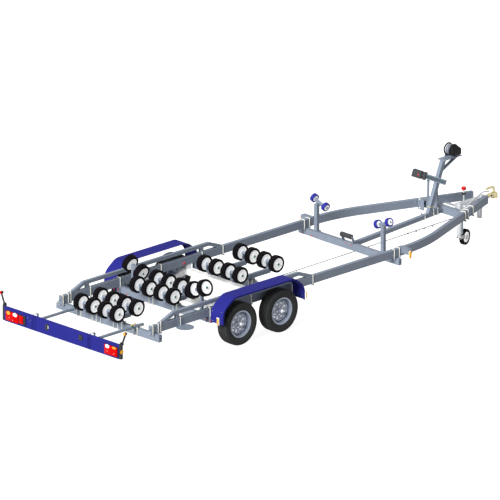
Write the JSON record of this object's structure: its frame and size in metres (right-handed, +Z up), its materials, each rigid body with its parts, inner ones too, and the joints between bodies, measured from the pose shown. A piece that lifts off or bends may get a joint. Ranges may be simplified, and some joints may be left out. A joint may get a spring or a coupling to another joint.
{
  "type": "tandem axle roller boat trailer",
  "caption": "Unpowered tandem-axle boat trailer with rocking roller cradles, side guide rollers, winch post, jockey wheel and extending light board.",
  "frame": {"origin": "on the floor below the middle of the overall length and width", "axes": "+X forward to the coupling, +Y to the left, +Z up"},
  "size_m": [8.453, 2.5078, 1.451],
  "materials": {
    "galvanised": "hot-dip galvanised, satin",
    "axle_coat": "pale zinc coat",
    "blue_sheet": "satin blue",
    "amber_lens": "clear amber lens",
    "red_lens": "red lens",
    "black_rubber": "matte",
    "black_moulding": "satin moulding",
    "blue_roller": "satin",
    "zinc_yellow": "yellow passivated zinc",
    "roller_rubber": "matte tyre on a pale hub",
    "tyre": "road tyre",
    "rim_silver": "silver paint"
  },
  "bodies": {
    "chassis": {"main_rail_left": "galvanised", "main_rail_right": "galvanised", "truss_rails": "galvanised", "crossmembers": "galvanised", "drawbar_cross": "galvanised", "spine_beam": "galvanised", "axles": "axle_coat", "mudguards": "blue_sheet", "rail_brackets": "galvanised", "marker_lamps": "amber_lens", "roller_brackets": "galvanised", "roller_posts": "galvanised", "winch_post": "galvanised", "winch_cover": "black_moulding", "bow_stop": "galvanised", "bow_pad": "black_rubber", "jockey_mount": "galvanised", "drawbar_housing": "galvanised", "coupling_head": "zinc_yellow", "brake_rod": "galvanised"},
    "wheel_rear_left": {"tyre_rear_left": "tyre", "rim_rear_left": "rim_silver"},
    "wheel_front_left": {"tyre_front_left": "tyre", "rim_front_left": "rim_silver"},
    "wheel_rear_right": {"tyre_rear_right": "tyre", "rim_rear_right": "rim_silver"},
    "wheel_front_right": {"tyre_front_right": "tyre", "rim_front_right": "rim_silver"},
    "rocker_rear_left": {"rocker_rear_left": "galvanised"},
    "rollers_rear_left_aft": {"rollers_rear_left_aft": "roller_rubber"},
    "rollers_rear_left_fore": {"rollers_rear_left_fore": "roller_rubber"},
    "rocker_rear_right": {"rocker_rear_right": "galvanised"},
    "rollers_rear_right_aft": {"rollers_rear_right_aft": "roller_rubber"},
    "rollers_rear_right_fore": {"rollers_rear_right_fore": "roller_rubber"},
    "rocker_middle_left": {"rocker_middle_left": "galvanised"},
    "rollers_middle_left_aft": {"rollers_middle_left_aft": "roller_rubber"},
    "rollers_middle_left_fore": {"rollers_middle_left_fore": "roller_rubber"},
    "rocker_middle_right": {"rocker_middle_right": "galvanised"},
    "rollers_middle_right_aft": {"rollers_middle_right_aft": "roller_rubber"},
    "rollers_middle_right_fore": {"rollers_middle_right_fore": "roller_rubber"},
    "rocker_front_left": {"rocker_front_left": "galvanised"},
    "rollers_front_left_aft": {"rollers_front_left_aft": "roller_rubber"},
    "rollers_front_left_fore": {"rollers_front_left_fore": "roller_rubber"},
    "rocker_front_right": {"rocker_front_right": "galvanised"},
    "rollers_front_right_aft": {"rollers_front_right_aft": "roller_rubber"},
    "rollers_front_right_fore": {"rollers_front_right_fore": "roller_rubber"},
    "bogie_rollers_left": {"bogie_rollers_left": "roller_rubber"},
    "guide_rollers_left": {"guide_rollers_left": "blue_roller"},
    "bogie_rollers_right": {"bogie_rollers_right": "roller_rubber"},
    "guide_rollers_right": {"guide_rollers_right": "blue_roller"},
    "keel_roller": {"keel_roller": "black_rubber"},
    "winch_drum": {"winch_drum": "galvanised"},
    "jockey_leg": {"jockey_leg": "galvanised"},
    "jockey_fork": {"jockey_fork": "galvanised"},
    "jockey_wheel": {"jockey_wheel": "black_rubber"},
    "light_board": {"board_panel": "blue_sheet", "board_ends": "black_rubber", "tail_lamps": "red_lens", "board_tubes": "galvanised"}
  },
  "joints": [
    {"name": "wheel_rear_left_spin", "type": "hinge", "parent": "chassis", "child": "wheel_rear_left", "pos_m": [-1.8585, 1.06, 0.3075], "axis": [0, 1, 0], "continuous": true},
    {"name": "wheel_front_left_spin", "type": "hinge", "parent": "chassis", "child": "wheel_front_left", "pos_m": [-1.0685, 1.06, 0.3075], "axis": [0, 1, 0], "continuous": true},
    {"name": "wheel_rear_right_spin", "type": "hinge", "parent": "chassis", "child": "wheel_rear_right", "pos_m": [-1.8585, -1.06, 0.3075], "axis": [0, 1, 0], "continuous": true},
    {"name": "wheel_front_right_spin", "type": "hinge", "parent": "chassis", "child": "wheel_front_right", "pos_m": [-1.0685, -1.06, 0.3075], "axis": [0, 1, 0], "continuous": true},
    {"name": "rocker_rear_left_rock", "type": "hinge", "parent": "chassis", "child": "rocker_rear_left", "pos_m": [-3.2935, 0.238, 0.492], "axis": [0, 1, 0], "range_deg": [-12, 12]},
    {"name": "rollers_rear_left_aft_spin", "type": "hinge", "parent": "rocker_rear_left", "child": "rollers_rear_left_aft", "pos_m": [-3.4785, 0.238, 0.655], "axis": [0, 1, 0], "continuous": true},
    {"name": "rollers_rear_left_fore_spin", "type": "hinge", "parent": "rocker_rear_left", "child": "rollers_rear_left_fore", "pos_m": [-3.1085, 0.238, 0.655], "axis": [0, 1, 0], "continuous": true},
    {"name": "rocker_rear_right_rock", "type": "hinge", "parent": "chassis", "child": "rocker_rear_right", "pos_m": [-3.2935, -0.238, 0.492], "axis": [0, 1, 0], "range_deg": [-12, 12]},
    {"name": "rollers_rear_right_aft_spin", "type": "hinge", "parent": "rocker_rear_right", "child": "rollers_rear_right_aft", "pos_m": [-3.4785, -0.238, 0.655], "axis": [0, 1, 0], "continuous": true},
    {"name": "rollers_rear_right_fore_spin", "type": "hinge", "parent": "rocker_rear_right", "child": "rollers_rear_right_fore", "pos_m": [-3.1085, -0.238, 0.655], "axis": [0, 1, 0], "continuous": true},
    {"name": "rocker_middle_left_rock", "type": "hinge", "parent": "chassis", "child": "rocker_middle_left", "pos_m": [-2.2235, 0.238, 0.492], "axis": [0, 1, 0], "range_deg": [-12, 12]},
    {"name": "rollers_middle_left_aft_spin", "type": "hinge", "parent": "rocker_middle_left", "child": "rollers_middle_left_aft", "pos_m": [-2.4085, 0.238, 0.655], "axis": [0, 1, 0], "continuous": true},
    {"name": "rollers_middle_left_fore_spin", "type": "hinge", "parent": "rocker_middle_left", "child": "rollers_middle_left_fore", "pos_m": [-2.0385, 0.238, 0.655], "axis": [0, 1, 0], "continuous": true},
    {"name": "rocker_middle_right_rock", "type": "hinge", "parent": "chassis", "child": "rocker_middle_right", "pos_m": [-2.2235, -0.238, 0.492], "axis": [0, 1, 0], "range_deg": [-12, 12]},
    {"name": "rollers_middle_right_aft_spin", "type": "hinge", "parent": "rocker_middle_right", "child": "rollers_middle_right_aft", "pos_m": [-2.4085, -0.238, 0.655], "axis": [0, 1, 0], "continuous": true},
    {"name": "rollers_middle_right_fore_spin", "type": "hinge", "parent": "rocker_middle_right", "child": "rollers_middle_right_fore", "pos_m": [-2.0385, -0.238, 0.655], "axis": [0, 1, 0], "continuous": true},
    {"name": "rocker_front_left_rock", "type": "hinge", "parent": "chassis", "child": "rocker_front_left", "pos_m": [-0.7735, 0.238, 0.492], "axis": [0, 1, 0], "range_deg": [-8, 8]},
    {"name": "rollers_front_left_aft_spin", "type": "hinge", "parent": "rocker_front_left", "child": "rollers_front_left_aft", "pos_m": [-1.121, 0.238, 0.655], "axis": [0, 1, 0], "continuous": true},
    {"name": "rollers_front_left_fore_spin", "type": "hinge", "parent": "rocker_front_left", "child": "rollers_front_left_fore", "pos_m": [-0.426, 0.238, 0.655], "axis": [0, 1, 0], "continuous": true},
    {"name": "rocker_front_right_rock", "type": "hinge", "parent": "chassis", "child": "rocker_front_right", "pos_m": [-0.7735, -0.238, 0.492], "axis": [0, 1, 0], "range_deg": [-8, 8]},
    {"name": "rollers_front_right_aft_spin", "type": "hinge", "parent": "rocker_front_right", "child": "rollers_front_right_aft", "pos_m": [-1.121, -0.238, 0.655], "axis": [0, 1, 0], "continuous": true},
    {"name": "rollers_front_right_fore_spin", "type": "hinge", "parent": "rocker_front_right", "child": "rollers_front_right_fore", "pos_m": [-0.426, -0.238, 0.655], "axis": [0, 1, 0], "continuous": true},
    {"name": "bogie_rollers_left_spin", "type": "hinge", "parent": "chassis", "child": "bogie_rollers_left", "pos_m": [-2.1735, 0.632, 0.775], "axis": [0, 0.9397, 0.342], "continuous": true},
    {"name": "guide_rollers_left_spin", "type": "hinge", "parent": "chassis", "child": "guide_rollers_left", "pos_m": [1.3865, 0.632, 0.885], "axis": [0, 0.9397, 0.342], "continuous": true},
    {"name": "bogie_rollers_right_spin", "type": "hinge", "parent": "chassis", "child": "bogie_rollers_right", "pos_m": [-2.1735, -0.632, 0.775], "axis": [0, 0.9397, -0.342], "continuous": true},
    {"name": "guide_rollers_right_spin", "type": "hinge", "parent": "chassis", "child": "guide_rollers_right", "pos_m": [1.3865, -0.632, 0.885], "axis": [0, 0.9397, -0.342], "continuous": true},
    {"name": "keel_roller_spin", "type": "hinge", "parent": "chassis", "child": "keel_roller", "pos_m": [1.2835, 0, 0.577], "axis": [0, 1, 0], "continuous": true},
    {"name": "winch_drum_turn", "type": "hinge", "parent": "chassis", "child": "winch_drum", "pos_m": [3.3445, 0, 1.351], "axis": [0, 1, 0], "continuous": true},
    {"name": "jockey_leg_lift", "type": "slide", "parent": "chassis", "child": "jockey_leg", "axis": [0, 0, 1], "range_m": [-0.2, 0]},
    {"name": "jockey_fork_swivel", "type": "hinge", "parent": "jockey_leg", "child": "jockey_fork", "pos_m": [3.2385, -0.262, 0.16], "axis": [0, 0, 1], "continuous": true},
    {"name": "jockey_wheel_spin", "type": "hinge", "parent": "jockey_fork", "child": "jockey_wheel", "pos_m": [3.38077, -0.22121, 0.112], "axis": [-0.2756, 0.9613, 0], "continuous": true},
    {"name": "light_board_slide", "type": "slide", "parent": "chassis", "child": "light_board", "axis": [1, 0, 0], "range_m": [0, 0.45]}
  ]
}
